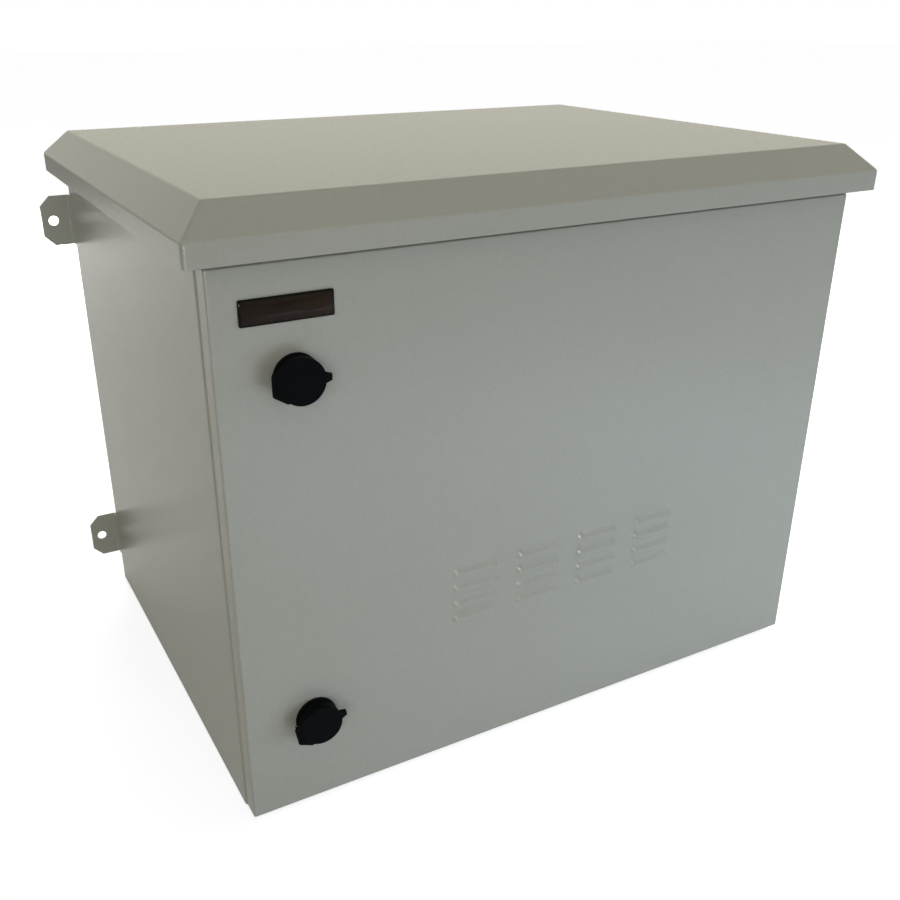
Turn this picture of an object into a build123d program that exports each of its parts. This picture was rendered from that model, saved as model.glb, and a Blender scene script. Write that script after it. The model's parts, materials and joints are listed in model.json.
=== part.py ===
from build123d import *
import os

# Outdoor wall cabinet for 19-inch equipment: a folded steel box with a hipped rain hood,
# a louvred pan door on two concealed hinges, two quarter-turn cam locks under sprung dust
# covers, four wall ears, and rack rails on depth channels inside.
# Millimetres. X right, Y back, Z up. The origin is under the middle of the overall box.

# Body
body_width = 600.0
body_depth = 437.0
body_height = 478.0
sheet = 1.5
front_bend = 4.0
back_bend = 3.0
seam_bend = 2.0

# Rim round the door opening: a flange, then a lip that stands forward into the gasket
rim_side = 20.0
rim_floor = 20.0
rim_top = 27.0
inner_flange = 7.0

# Hood
hood_above_body = 32.0
hood_side_overhang = 17.0
hood_front_overhang = 15.5
hood_skirt = 17.0
hood_bevel = 22.0
hood_edge = 3.5
hood_spacer_r = 7.0
hood_screw_r = 3.0
hood_fixing_inset_x = 90.0
hood_fixing_inset_y = 80.0

# Vent slots in the top sheet, under the hood
vent_slot_length = 60.0
vent_slot_width = 6.0
vent_slot_pitch_x = 76.0
vent_slot_pitch_y = 18.0
vent_slot_columns = 5
vent_slot_rows = 3

# Door
door_gap = 3.9
door_depth = 16.6
door_sheet = 1.5
door_bottom = 3.0
door_under_hood = 4.0
door_bend = 2.0
gasket_width = 14.0
gasket_thickness = 8.0
gasket_crown = 3.0
gasket_clearance = 0.2

# Louvres pressed outwards low on the door, open at the lower edge
louvre_width = 46.0
louvre_height = 10.0
louvre_rise = 4.0
louvre_flat = 2.0
louvre_shoulder = 8.0
louvre_end = 6.0
louvre_columns = 4
louvre_rows = 4
louvre_pitch_x = 64.5
louvre_pitch_z = 15.0
louvre_middle_x = 7.75
louvre_from_bottom = 135.2

# Filter behind the louvres
filter_margin = 9.0
filter_thickness = 5.0
retainer_sheet = 1.0
retainer_border = 10.0
retainer_ear = 14.0
retainer_bars = 5
retainer_bar_width = 5.0
stud_r = 2.0

# Badge, left bare
badge_width = 70.0
badge_height = 19.0
badge_thickness = 2.0
badge_from_left = 55.8
badge_from_top = 32.9
badge_corner = 1.2

# Locks
lock_from_left = 59.2
lock_from_top = 82.9
lock_from_bottom = 84.4
lock_roll = {"upper": 0.0, "lower": 10.3}
lock_base_r = 17.8
lock_base_front = 4.2
lock_seal_thickness = 1.0
lock_seal_r = 17.2
lock_body_r = 17.0
lock_body_front = 11.0
lock_dish_r = 13.0
lock_dish_floor = 8.0
lock_barrel_r = 11.0
lock_hole_clearance = 0.2
lock_nut_across_flats = 27.0
lock_nut_thickness = 4.0
core_r = 6.0
core_head_r = 8.0
core_head_thickness = 2.0
core_square = 8.0
key_slot_width = 1.4
key_slot_length = 8.0
key_slot_depth = 7.0
cam_thickness = 3.0
cam_width = 16.0
cam_catch = 5.5
cam_clearance = 1.2
cam_screw_r = 2.5
cam_screw_head_r = 4.5
cam_screw_head = 2.6
cam_screw_depth = 8.0
cam_washer_r = 6.0
cam_washer = 1.0
screw_slot_width = 1.2
screw_head_edge = 0.8

# Dust cover over each lock
flap_r = 17.6
flap_front = 15.5
flap_seat_clearance = 0.3
flap_wall = 1.6
flap_edge = 0.6
flap_tail = 22.7
flap_tail_half = 7.6
flap_tail_floor = 13.2
flap_tab_reach = 22.8
flap_tab_root = 9.8
flap_tab_tip = 5.0
flap_tab_thickness = 2.8
flap_tab_edge = 0.7
flap_tab_angle = 1.5
flap_pin_r = 0.8
flap_pin_u = -19.5
flap_pin_p = 10.9
flap_knuckle_r = 1.5
ear_inner = 2.2
ear_outer = 3.8
ear_gap = 0.3
spring_wire_r = 0.25
spring_turns = 3

# Hinges
running_clearance = 0.05
hinge_from_edge = 75.0
hinge_length = 60.0
hinge_middle = 20.0
hinge_gap = 0.5
hinge_pin_r = 2.0
hinge_knuckle_r = 3.2
hinge_pin_head_r = 3.2
hinge_pin_head = 1.5
hinge_pin_in = 5.0
hinge_pin_ahead = 7.5
hinge_leaf = 1.5
hinge_foot = 9.0
hinge_plate_width = 11.0
hinge_plate_clearance = 2.6
hinge_notch_reach = 13.0
hinge_screw_r = 2.0
hinge_screw_head_r = 3.6
hinge_screw_head = 1.6
hinge_screw_from_end = 9.0

# Wall ears
wall_gap = 10.5
ear_sheet = 2.0
ear_bend = 3.0
ear_height = 50.0
ear_reach = 28.5
ear_chamfer = 10.0
ear_hole_r = 5.0
ear_hole_out = 17.0
ear_from_top = 57.5
ear_from_bottom = 54.5
ear_foot = 34.0
ear_bolt_r = 3.0
ear_bolt_pitch = 28.0
ear_bolt_in = 20.0

# Hexagon fastener sizes, and how much wider than its bolt a plain hole is
bolt_hole_clearance = 0.25
hex_head = 4.0
hex_across_flats = 10.0
nut_thickness = 5.0

# 19-inch rack rails
rack_unit = 44.45
rack_hole_centres = 465.1
rack_hole_square = 9.5
rack_hole_steps = (6.35, 22.225, 38.1)
rail_sheet = 2.0
rail_bend = 3.0
rail_face_width = 25.0
rail_hole_to_edge = 7.55
rail_side_depth = 40.0
rail_margin = 8.0
rail_bottom = 25.0
rail_top_gap = 36.0
rail_front_gap = 45.0
rail_rear_gap = 107.0

# Depth channels that carry the rails
channel_height = 26.0
channel_sheet = 1.5
channel_bend = 2.5
channel_end_gap = 22.0
channel_rail_lap = 3.0
rail_bolt_r = 3.0
rail_slot_length = 60.0

# Cable entry in the floor
entry_width = 300.0
entry_depth = 90.0
entry_back_gap = 70.0
entry_corner = 6.0
entry_lap = 18.0
entry_seal = 2.0
gland_plate_sheet = 1.5
gland_screw_r = 2.5
gland_screw_head_r = 4.5
gland_screw_head = 3.0
grommet_count = 4
grommet_pitch = 68.0
grommet_hole_r = 16.0
grommet_flange_r = 20.0
grommet_lip = 1.3
grommet_crown = 9.0
grommet_wall = 1.5

# Earth studs
earth_stud_r = 4.0
earth_stud_length = 22.0
earth_nut_across_flats = 13.0
earth_nut_thickness = 6.5
earth_washer_r = 8.0
earth_washer = 1.6
door_earth_x = 240.0
door_earth_z = 60.0
door_earth_length = 14.0
body_earth_x = 180.0
body_earth_back_gap = 35.0

# Places that follow from the sizes above
overall_depth = hood_front_overhang + door_depth + door_gap + body_depth + wall_gap
half_width = body_width / 2
wall_y = overall_depth / 2
back_y = wall_y - wall_gap
rim_y = back_y - body_depth
door_back_y = rim_y - door_gap
door_face_y = door_back_y - door_depth
hood_front_y = door_face_y - hood_front_overhang
skin_y = door_face_y + door_sheet
lip_depth = rim_y - skin_y - gasket_thickness - gasket_clearance
lip_y = rim_y - lip_depth
hood_height = body_height + hood_above_body
hood_skirt_z = hood_height - hood_bevel - hood_skirt
door_top = hood_skirt_z - door_under_hood
lip_x = half_width - rim_side
lip_floor_z = rim_floor
lip_top_z = body_height - rim_top
hinge_x = half_width - hinge_pin_in
hinge_y = rim_y - hinge_pin_ahead
louvre_first_x = louvre_middle_x - (louvre_columns - 1) * louvre_pitch_x / 2
louvre_top_z = door_bottom + louvre_from_bottom + (louvre_rows - 1) * louvre_pitch_z
badge_x = badge_from_left - half_width
badge_z = door_top - badge_from_top
lock_x = lock_from_left - half_width
lock_z = {"upper": door_top - lock_from_top, "lower": door_bottom + lock_from_bottom}
cam_reach = lock_from_left - rim_side + cam_catch
ear_hole_z = {"upper": body_height - ear_from_top, "lower": ear_from_bottom}
rack_units = int((body_height - rail_bottom - rail_top_gap - 2 * rail_margin) / rack_unit)
rail_length = rack_units * rack_unit + 2 * rail_margin
rail_top = rail_bottom + rail_length
rail_inner_x = rack_hole_centres / 2 - rail_hole_to_edge
rail_outer_x = rail_inner_x + rail_face_width
rail_setback = {"front": rail_front_gap, "rear": body_depth - rail_rear_gap}
side_names = {"left": -1, "right": 1}
lock_names = ("upper", "lower")


def block(x0, x1, y0, y1, z0, z1):
    """A block between two opposite corners."""
    middle = ((x0 + x1) / 2, (y0 + y1) / 2, (z0 + z1) / 2)
    return Pos(*middle) * Box(abs(x1 - x0), abs(y1 - y0), abs(z1 - z0))


def disc(radius, z0, z1, u=0.0, v=0.0):
    """A round bar along Z between two heights."""
    return Pos(u, v, (z0 + z1) / 2) * Cylinder(radius, abs(z1 - z0))


def hexagon(across_flats, z0, z1):
    """A hexagonal bar along Z between two heights."""
    outline = RegularPolygon(across_flats / 2, 6, major_radius=False)
    return extrude(Pos(0, 0, min(z0, z1)) * outline, abs(z1 - z0))


def folded_section(points, radii, thickness, side):
    """The section of a folded sheet: its outer face is given, and its thickness lies to one side."""
    face_line = FilletPolyline(*points, radius=radii)
    return make_face(offset(face_line, thickness, side=side))


def left_right(shape, direction):
    """The right-hand piece as it is, or its mirror image for the left side."""
    return shape if direction > 0 else mirror(shape, about=Plane.YZ)


# Body sheets


def make_body_wrap():
    """Both sides and the back, folded from one sheet, with the upright rims of the door opening."""
    outline = [
        (lip_x, lip_y),
        (lip_x, rim_y),
        (half_width, rim_y),
        (half_width, back_y),
        (-half_width, back_y),
        (-half_width, rim_y),
        (-lip_x, rim_y),
        (-lip_x, lip_y),
    ]
    radii = [seam_bend, front_bend, back_bend, back_bend, front_bend, seam_bend]
    wrap = extrude(folded_section(outline, radii, sheet, Side.LEFT), body_height)
    for z0, z1 in ((0, lip_floor_z), (lip_top_z, body_height)):
        wrap -= block(-lip_x - seam_bend, lip_x + seam_bend, lip_y - 1, rim_y, z0, z1)
        wrap -= block(-lip_x, lip_x, rim_y - 1, rim_y + sheet + seam_bend, z0, z1)
    for name, direction in side_names.items():
        for level in lock_names:
            for hole in ear_bolt_places(direction, level):
                wrap -= hole * disc(ear_bolt_r + bolt_hole_clearance, -sheet - 1, 1)
    return wrap


def cross_rim_section(sheet_z, lip_z, into):
    """Section of the floor or the top sheet: lip, rim flange, flat sheet and rear flange."""
    outline = [
        (lip_y, lip_z),
        (rim_y, lip_z),
        (rim_y, sheet_z),
        (back_y - sheet, sheet_z),
        (back_y - sheet, sheet_z + into * (sheet + inner_flange)),
    ]
    side = Side.LEFT if into > 0 else Side.RIGHT
    return Plane.YZ * folded_section(outline, [seam_bend, front_bend, back_bend], sheet, side)


def make_cross_sheet(sheet_z, lip_z, into):
    """The floor or the top: a sheet between the sides, notched round their rim flanges."""
    inside_x = half_width - sheet
    panel = extrude(cross_rim_section(sheet_z, lip_z, into), inside_x, both=True)
    for direction in side_names.values():
        side_x = direction * inside_x
        notch_depth = rim_y + sheet
        panel -= block(direction * lip_x, side_x + direction, lip_y - 1, notch_depth,
                       sheet_z - body_height, sheet_z + body_height)
        panel -= block(direction * lip_x, side_x + direction, rim_y, rim_y + front_bend,
                       sheet_z + into * (sheet + 0.001), sheet_z + into * body_height)
        panel -= block(direction * (lip_x - sheet), side_x + direction, lip_y - 1, notch_depth,
                       lip_z, lip_z + into * 2 * sheet)
        front_relief = inside_x - (front_bend - sheet)
        panel -= block(direction * front_relief, side_x + direction, notch_depth - 0.001,
                       rim_y + front_bend, sheet_z - body_height, sheet_z + body_height)
        rear_relief = inside_x - (back_bend - sheet)
        panel -= block(direction * rear_relief, side_x + direction, back_y - back_bend,
                       back_y, sheet_z - body_height, sheet_z + body_height)
        start = sheet_z + into * sheet
        panel += block(side_x, side_x - direction * sheet, rim_y + rim_side,
                       back_y - rim_side, start, start + into * inner_flange)
    return panel


def make_top_panel():
    panel = make_cross_sheet(body_height, lip_top_z, -1)
    slot = SlotOverall(vent_slot_length, vent_slot_width)
    middle_y = (rim_y + back_y) / 2
    slots = GridLocations(vent_slot_pitch_x, vent_slot_pitch_y, vent_slot_columns, vent_slot_rows)
    for row_y in (middle_y - body_depth / 5, middle_y + body_depth / 5):
        for place in slots:
            cut = Pos(0, row_y, body_height - 2 * sheet) * place * slot
            panel -= extrude(cut, 3 * sheet)
    for x, y in hood_fixing_places():
        panel -= disc(hood_screw_r + bolt_hole_clearance, body_height - 2 * sheet, body_height + 1, x, y)
    return panel


def make_floor_panel():
    panel = make_cross_sheet(0, lip_floor_z, 1)
    entry = RectangleRounded(entry_width, entry_depth, entry_corner)
    panel -= extrude(Pos(0, entry_y, -1) * entry, 2 * sheet + 1)
    for x, y in gland_screw_places():
        panel -= disc(gland_screw_r + running_clearance, -1, sheet + 1, x, y)
    return panel


# Rain hood


def hood_form(inset, skirt_bottom):
    """The hood's outer form, or the space inside it when inset by the sheet's thickness."""
    slope_inset = inset * (2 ** 0.5 - 1)
    width = body_width + 2 * hood_side_overhang - 2 * inset
    depth = wall_y - hood_front_y - 2 * inset
    eave_z = hood_height - hood_bevel - slope_inset
    top_z = hood_height - inset
    rise = top_z - eave_z
    skirt = extrude(Pos(0, 0, skirt_bottom) * Rectangle(width, depth), eave_z - skirt_bottom)
    bevel = extrude(Pos(0, 0, eave_z) * Rectangle(width, depth), rise, taper=45)
    form = skirt + bevel
    upper_edges = form.edges().filter_by(lambda edge: edge.center().Z > skirt_bottom + 1)
    return fillet(upper_edges, hood_edge - inset if inset else hood_edge)


def make_roof_hood():
    return hood_form(0, hood_skirt_z) - hood_form(sheet, hood_skirt_z - 1)


def hood_fixing_places():
    x = half_width - hood_fixing_inset_x
    middle_y = (rim_y + back_y) / 2
    y = body_depth / 2 - hood_fixing_inset_y
    return [(i * x, middle_y + j * y) for i in (-1, 1) for j in (-1, 1)]


def make_hood_spacers():
    """Threaded bushes welded under the hood; they stand on the top sheet."""
    bushes = []
    for x, y in hood_fixing_places():
        bush = disc(hood_spacer_r, body_height, hood_height - sheet, x, y)
        bushes.append(bush - disc(hood_screw_r, body_height, body_height + 15, x, y))
    return bushes


def make_hood_screws():
    """Hexagon screws put in from inside the cabinet, so that nothing shows outside."""
    screws = []
    under = body_height - sheet
    for x, y in hood_fixing_places():
        head = Pos(x, y) * hexagon(hex_across_flats, under - hex_head, under)
        screws.append(head + disc(hood_screw_r, under, body_height + 12, x, y))
    return screws


# Door


def louvre_form(inset):
    """One louvre: proud at its open lip, with a ramp up to the panel and steeper round ends.

    Inset by the sheet, it is the hollow behind the louvre, through to the panel's back.
    """
    run = louvre_height - louvre_flat
    slant = (run ** 2 + louvre_rise ** 2) ** 0.5
    shift = inset * (slant - run) / louvre_rise
    lip = (0, louvre_rise - inset)
    knee = (louvre_flat - shift, louvre_rise - inset)
    foot = (louvre_height - shift, -inset)
    ramp = FilletPolyline(lip, knee, foot, radius=louvre_shoulder - inset)
    section = Plane.YZ * make_face(ramp.edges() + [Line(foot, (0, -inset)), Line((0, -inset), lip)])
    straight = louvre_width / 2 - louvre_end
    middle = extrude(section, straight, both=True)
    dome = scale(revolve(section, Axis.Z, 90), by=(louvre_end / louvre_height, 1, 1))
    left_end = Pos(-straight, 0, 0) * dome
    return middle + left_end + mirror(left_end, about=Plane.YZ)


def on_door_face(x, z, roll=0.0):
    """A frame on the door's front: local X right, Y up, Z out of the door."""
    plane = Plane(origin=(x, door_face_y, z), x_dir=(1, 0, 0), z_dir=(0, -1, 0))
    return Location(plane) * Rot(0, 0, roll)


def louvre_places():
    for column in range(louvre_columns):
        for row in range(louvre_rows):
            x = louvre_first_x + column * louvre_pitch_x
            yield x, louvre_top_z - row * louvre_pitch_z


def make_door_panel():
    """The pan: a front skin, four return flanges, pressed louvres and cut-outs for locks and hinges."""
    pan = block(-half_width, half_width, door_face_y, door_back_y, door_bottom, door_top)
    front = pan.faces().sort_by(Axis.Y)[0]
    uprights = pan.edges().filter_by(Axis.Y)
    pan = fillet(list(front.edges()) + list(uprights), door_bend)
    pan = offset(pan, -door_sheet, openings=pan.faces().sort_by(Axis.Y)[-1])
    louvre = louvre_form(0)
    hollow = louvre_form(door_sheet)
    for x, z in louvre_places():
        place = on_door_face(x, z)
        pan += place * louvre
        pan -= place * hollow
    for level in lock_names:
        hole = disc(lock_barrel_r + lock_hole_clearance, -door_sheet - 1, 1)
        pan -= on_door_face(lock_x, lock_z[level]) * hole
        half = hinge_middle / 2 + 2 * hinge_gap
        z = hinge_z(level)
        pan -= block(half_width - hinge_pin_in, half_width + 1, rim_y - hinge_notch_reach,
                     rim_y, z - half, z + half)
    return pan


def make_door_gasket():
    """Foam ring on the inner face of the door, opposite the lip of the body."""
    ring_width = 2 * lip_x - sheet + gasket_width
    ring_height = lip_top_z - lip_floor_z - sheet + gasket_width
    outer = RectangleRounded(ring_width, ring_height, gasket_width)
    inner = RectangleRounded(ring_width - 2 * gasket_width, ring_height - 2 * gasket_width, 2)
    middle_z = (lip_top_z + lip_floor_z) / 2
    plane = Plane(origin=(0, skin_y, middle_z), x_dir=(1, 0, 0), z_dir=(0, 1, 0))
    ring = extrude(plane * (outer - inner), gasket_thickness)
    rear_edges = ring.faces().sort_by(Axis.Y)[-1].edges()
    return fillet(rear_edges, gasket_crown)


def filter_frame():
    """Left, right, lower and upper edges of the filter, and its middle."""
    left = louvre_first_x - louvre_width / 2 - filter_margin
    right = louvre_first_x + (louvre_columns - 1) * louvre_pitch_x + louvre_width / 2 + filter_margin
    lower = louvre_top_z - (louvre_rows - 1) * louvre_pitch_z - filter_margin
    upper = louvre_top_z + louvre_height + filter_margin
    return left, right, lower, upper


def make_filter_pad():
    left, right, lower, upper = filter_frame()
    return block(left, right, skin_y, skin_y + filter_thickness, lower, upper)


def filter_stud_places():
    left, right, lower, upper = filter_frame()
    out = retainer_sheet + retainer_ear / 2
    return [(x, (lower + upper) / 2) for x in (left - out, right + out)]


def make_filter_retainer():
    """A shallow folded tray over the pad, with bars across its window and an ear at each end."""
    left, right, lower, upper = filter_frame()
    back = skin_y + filter_thickness + retainer_sheet
    t = retainer_sheet
    tray = block(left - t, right + t, skin_y, back, lower - t, upper + t)
    tray -= block(left, right, skin_y - 1, back - t, lower, upper)
    window_left = left + retainer_border
    window_right = right - retainer_border
    window_lower = lower + retainer_border
    window_upper = upper - retainer_border
    tray -= block(window_left, window_right, skin_y, back + 1, window_lower, window_upper)
    pitch = (window_right - window_left) / (retainer_bars + 1)
    for number in range(retainer_bars):
        x = window_left + (number + 1) * pitch
        tray += block(x - retainer_bar_width / 2, x + retainer_bar_width / 2,
                      back - t, back, window_lower - 1, window_upper + 1)
    for x, z in filter_stud_places():
        ear = block(x - retainer_ear / 2 - t, x + retainer_ear / 2 + t, skin_y, skin_y + t,
                    z - retainer_ear / 2, z + retainer_ear / 2)
        ear -= block(left, right, skin_y - 1, back, lower, upper)
        tray += ear
    for x, z in filter_stud_places():
        tray -= rear_of_skin(x, z) * disc(stud_r + bolt_hole_clearance, -1, t + 1)
    return tray


def rear_of_skin(x, z):
    """A frame on the door's inner face: local Z points into the cabinet."""
    return Location(Plane(origin=(x, skin_y, z), x_dir=(-1, 0, 0), z_dir=(0, 1, 0)))


def make_filter_studs():
    """Studs welded to the skin, one at each end of the retainer."""
    length = retainer_sheet + nut_thickness + 2
    return [rear_of_skin(x, z) * disc(stud_r, 0, length) for x, z in filter_stud_places()]


def make_filter_nuts():
    nuts = []
    for x, z in filter_stud_places():
        nut = hexagon(3.5 * stud_r, retainer_sheet, retainer_sheet + nut_thickness - 1)
        nut -= disc(stud_r, 0, nut_thickness + 1)
        nuts.append(rear_of_skin(x, z) * nut)
    return nuts


def make_badge_plate():
    """A domed plate with nothing on it."""
    plate = extrude(RectangleRounded(badge_width, badge_height, badge_corner), badge_thickness)
    front_edges = plate.faces().sort_by(Axis.Z)[-1].edges()
    return on_door_face(badge_x, badge_z) * fillet(front_edges, badge_thickness * 0.45)


# Locks, built about the local Z axis, which points out of the door


def lock_frame(level):
    return on_door_face(lock_x, lock_z[level], lock_roll[level])


barrel_back = skin_y - rim_y - door_sheet + 0.5
cam_front = -(rim_y + sheet - door_face_y) - cam_clearance
cam_back = cam_front - cam_thickness
core_seat = lock_dish_floor - core_head_thickness


def make_lock_seal():
    return disc(lock_seal_r, 0, lock_seal_thickness) - disc(lock_barrel_r, -1, lock_seal_thickness + 1)


def make_lock_housing():
    """Turned housing: base, body with a dished face, barrel through the door, and two hinge ears."""
    profile = Polyline(
        (core_r + running_clearance, barrel_back),
        (lock_barrel_r, barrel_back),
        (lock_barrel_r, lock_seal_thickness),
        (lock_base_r, lock_seal_thickness),
        (lock_base_r, lock_base_front),
        (lock_body_r, lock_base_front),
        (lock_body_r, lock_body_front),
        (lock_dish_r, lock_body_front),
        (lock_dish_r, lock_dish_floor),
        (core_head_r + running_clearance, lock_dish_floor),
        (core_head_r + running_clearance, core_seat - running_clearance),
        (core_r + running_clearance, core_seat - running_clearance),
        close=True,
    )
    housing = revolve(Plane.XZ * make_face(profile), Axis.Z)
    arm_floor = flap_pin_p - flap_knuckle_r
    wall = (lock_body_r + lock_dish_r) / 2
    for side in (-1, 1):
        v0 = side * ear_inner
        v1 = side * ear_outer
        ear = block(flap_pin_u, -wall, v0, v1, arm_floor, lock_body_front)
        tip = Pos(flap_pin_u, (v0 + v1) / 2, flap_pin_p) * Rot(90, 0, 0)
        ear += tip * Cylinder(flap_knuckle_r, ear_outer - ear_inner)
        ear -= disc(lock_dish_r + 0.5, 0, lock_body_front + 5)
        housing += ear
    housing -= flap_pin_bar(flap_pin_r, flap_tail_half + 1)
    return housing


def flap_pin_bar(radius, half_length):
    """A bar along the dust cover's hinge."""
    return Pos(flap_pin_u, 0, flap_pin_p) * Rot(90, 0, 0) * Cylinder(radius, 2 * half_length)


def make_lock_nut():
    front = -door_sheet
    nut = hexagon(lock_nut_across_flats, front - lock_nut_thickness, front)
    return nut - disc(lock_barrel_r + running_clearance, front - lock_nut_thickness - 1, front + 1)


def make_lock_core():
    """The part that the key turns: a head with a key slot, a round core and a square tail."""
    core = disc(core_head_r, core_seat, lock_dish_floor) + disc(core_r, barrel_back - 1, core_seat)
    core += extrude(Pos(0, 0, cam_back) * Rectangle(core_square, core_square), barrel_back - 1 - cam_back)
    slot_top = lock_dish_floor + 1
    core -= block(-key_slot_width / 2, key_slot_width / 2, -key_slot_length / 2,
                  key_slot_length / 2, slot_top - key_slot_depth, slot_top)
    return core - disc(cam_screw_r, cam_back - 1, cam_back + cam_screw_depth)


def make_lock_cam():
    """Flat tongue on the square tail. It hangs down when unlocked."""
    tongue = SlotCenterToCenter(cam_reach - cam_width / 2, cam_width, 90)
    tongue = Pos(0, -(cam_reach - cam_width / 2) / 2, cam_back) * tongue
    cam = extrude(tongue, cam_thickness) + disc(cam_width * 0.6, cam_back, cam_front)
    return cam - extrude(Pos(0, 0, cam_back - 1) * Rectangle(core_square, core_square), cam_thickness + 2)


def make_cam_screw():
    seat = cam_back - cam_washer
    head = disc(cam_screw_head_r, seat - cam_screw_head, seat)
    head = chamfer(head.faces().sort_by(Axis.Z)[0].edges(), screw_head_edge)
    head += disc(cam_washer_r, seat, cam_back)
    half_slot = screw_slot_width / 2
    slot_floor = seat - cam_screw_head / 2
    head -= block(-half_slot, half_slot, -cam_screw_head_r, cam_screw_head_r, slot_floor - cam_screw_head, slot_floor)
    return head + disc(cam_screw_r, cam_back, cam_back + cam_screw_depth - 1)


def flap_outline():
    """Round cover drawn out to a straight tail at its hinge."""
    tail_strip = Pos(-flap_tail + flap_wall / 2, 0) * Rectangle(flap_wall, 2 * flap_tail_half)
    return make_hull(Circle(flap_r).edges() + tail_strip.edges())


def make_lock_flap():
    """Dust cover: a shallow cap drawn out to a flat tail, a thumb tab, and two knuckles under the tail."""
    seat = lock_body_front + flap_seat_clearance
    cap = extrude(Pos(0, 0, flap_tail_floor) * flap_outline(), flap_front - flap_tail_floor)
    cap = chamfer(cap.faces().sort_by(Axis.Z)[-1].edges(), flap_edge)
    cap += disc(flap_r, seat, flap_front - flap_wall)
    hollow_r = flap_r - flap_wall
    cap -= disc(hollow_r, seat - 1, flap_front - flap_wall)
    root = flap_r - flap_wall
    tab_outline = Polyline((root, -flap_tab_root / 2), (flap_tab_reach, -flap_tab_tip / 2),
                           (flap_tab_reach, flap_tab_tip / 2), (root, flap_tab_root / 2), close=True)
    tab = extrude(Pos(0, 0, seat) * make_face(tab_outline), flap_tab_thickness)
    tab = chamfer(tab.faces().sort_by(Axis.Z)[-1].edges(), flap_tab_edge)
    cap += Rot(0, 0, flap_tab_angle) * (tab - disc(hollow_r, 0, flap_front))
    inner = ear_outer + ear_gap
    for side in (-1, 1):
        v0 = side * inner
        v1 = side * flap_tail_half
        knuckle = Pos(flap_pin_u, (v0 + v1) / 2, flap_pin_p) * Rot(90, 0, 0)
        cap += knuckle * Cylinder(flap_knuckle_r, flap_tail_half - inner)
        cap += block(flap_pin_u - flap_knuckle_r, flap_pin_u + flap_knuckle_r, v0, v1,
                     flap_pin_p, flap_tail_floor + flap_edge)
    return cap - flap_pin_bar(flap_pin_r + running_clearance, flap_tail_half + 1)


def make_flap_spring():
    """Torsion spring round the middle of the pin, of six-sided wire."""
    length = 2 * (ear_inner - ear_gap - spring_wire_r)
    coil_r = flap_pin_r + spring_wire_r + running_clearance
    path = Helix(length / spring_turns, length, coil_r)
    wire = sweep(Plane(origin=path @ 0, z_dir=path % 0) * RegularPolygon(spring_wire_r, 6), path)
    return Pos(flap_pin_u, length / 2, flap_pin_p) * Rot(90, 0, 0) * wire


# Hinges


def hinge_z(level):
    return door_top - hinge_from_edge if level == "upper" else door_bottom + hinge_from_edge


def upright_tube(outer, bore, z0, z1):
    """A knuckle or pin about the hinge line."""
    tube = disc(outer, z0, z1, hinge_x, hinge_y)
    if bore:
        tube -= disc(bore, z0 - 1, z1 + 1, hinge_x, hinge_y)
    return tube


def make_hinge_body_leaf(level):
    """Plate screwed to the rim, with an arm that carries the middle knuckle."""
    z = hinge_z(level)
    half = hinge_length / 2
    middle = hinge_middle / 2
    arm_x = hinge_x - hinge_knuckle_r
    plate_left = lip_x + hinge_plate_clearance
    plate_right = arm_x + hinge_leaf
    leaf = block(plate_left, plate_right, rim_y - hinge_leaf, rim_y, z - half, z + half)
    leaf += block(arm_x, plate_right, hinge_y, rim_y, z - middle, z + middle)
    leaf += upright_tube(hinge_knuckle_r, 0, z - middle, z + middle)
    leaf -= disc(hinge_pin_r + running_clearance, z - half, z + half, hinge_x, hinge_y)
    for place in hinge_screw_places(level):
        leaf -= place * disc(hinge_screw_r + bolt_hole_clearance, -1, hinge_leaf + 1)
    return leaf


def hinge_screw_places(level):
    """Frames on the rim face: local Z points out of the cabinet."""
    z = hinge_z(level)
    reach = hinge_length / 2 - hinge_screw_from_end
    x = (lip_x + hinge_plate_clearance + hinge_x - hinge_knuckle_r) / 2
    for offset_z in (-reach, reach):
        yield Location(Plane(origin=(x, rim_y, z + offset_z), x_dir=(1, 0, 0), z_dir=(0, -1, 0)))


def make_hinge_screws():
    """Pan-head screws through the body leaves into the rim."""
    screws = []
    for level in lock_names:
        for place in hinge_screw_places(level):
            head = disc(hinge_screw_head_r, hinge_leaf, hinge_leaf + hinge_screw_head)
            head = chamfer(head.faces().sort_by(Axis.Z)[-1].edges(), screw_head_edge)
            screws.append(place * (head + disc(hinge_screw_r, 0, hinge_leaf)))
    return screws


def make_hinge_door_leaf(level):
    """Angle welded in the corner of the pan, with a knuckle above and one below the body's."""
    z = hinge_z(level)
    half = hinge_length / 2
    gap = hinge_middle / 2 + hinge_gap
    wall_x = half_width - door_sheet
    leaf = block(wall_x - hinge_leaf, wall_x, skin_y + door_bend, hinge_y, z - half, z + half)
    leaf += block(wall_x - hinge_foot, wall_x - door_bend, skin_y, skin_y + hinge_leaf, z - half, z + half)
    corner = [(wall_x - door_bend, skin_y), (wall_x, skin_y + door_bend),
              (wall_x - hinge_leaf, skin_y + door_bend + hinge_leaf),
              (wall_x - door_bend - hinge_leaf, skin_y + hinge_leaf)]
    leaf += extrude(Pos(0, 0, z - half) * make_face(Polyline(*corner, close=True)), hinge_length)
    for z0, z1 in ((z - half, z - gap), (z + gap, z + half)):
        leaf += upright_tube(hinge_knuckle_r, 0, z0, z1)
    leaf -= disc(hinge_pin_r, z - half - 1, z + half + 1, hinge_x, hinge_y)
    return leaf - block(wall_x - 3 * hinge_leaf, wall_x + 1, rim_y - hinge_notch_reach, rim_y, z - gap, z + gap)


def make_hinge_pin(level):
    z = hinge_z(level)
    half = hinge_length / 2
    head = disc(hinge_pin_head_r, z + half, z + half + hinge_pin_head, hinge_x, hinge_y)
    return head + upright_tube(hinge_pin_r, 0, z - half, z + half)


# Wall ears


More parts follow.
